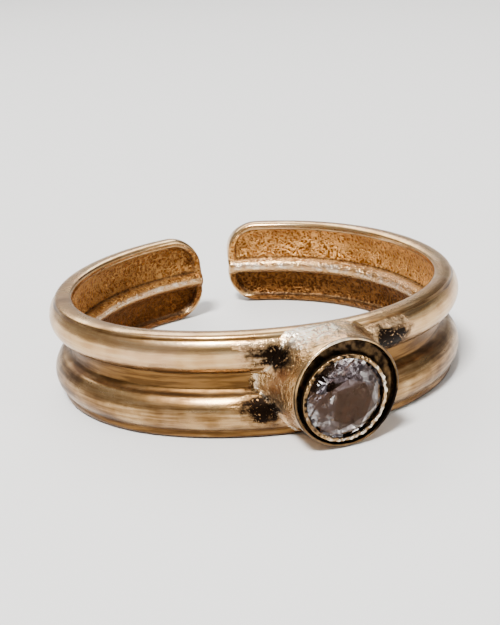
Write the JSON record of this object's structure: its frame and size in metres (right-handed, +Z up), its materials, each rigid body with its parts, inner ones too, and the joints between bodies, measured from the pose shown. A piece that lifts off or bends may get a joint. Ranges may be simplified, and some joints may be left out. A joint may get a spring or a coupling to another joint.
{
  "type": "toe ring",
  "caption": "Open adjustable toe ring: a band with two outer ridges and a groove, and a round cup soldered to its front that holds a faceted clear stone.",
  "frame": {"origin": "middle of the toe hole, on the plane that the ring rests on when it lies on its side", "axes": "+Z up the toe hole's axis, -Y towards the cup and the stone, +Y towards the open gap, +X to the right as seen from in front of the stone"},
  "size_m": [0.0186, 0.0205, 0.0045],
  "materials": {
    "metal": "cast copper alloy, polished outside with brown tarnish in the groove and beside the cup, left rough in the channels inside",
    "clear_stone": "polished facets"
  },
  "bodies": {
    "root": {"band_and_cup": "metal", "stone": "clear_stone"}
  },
  "joints": []
}
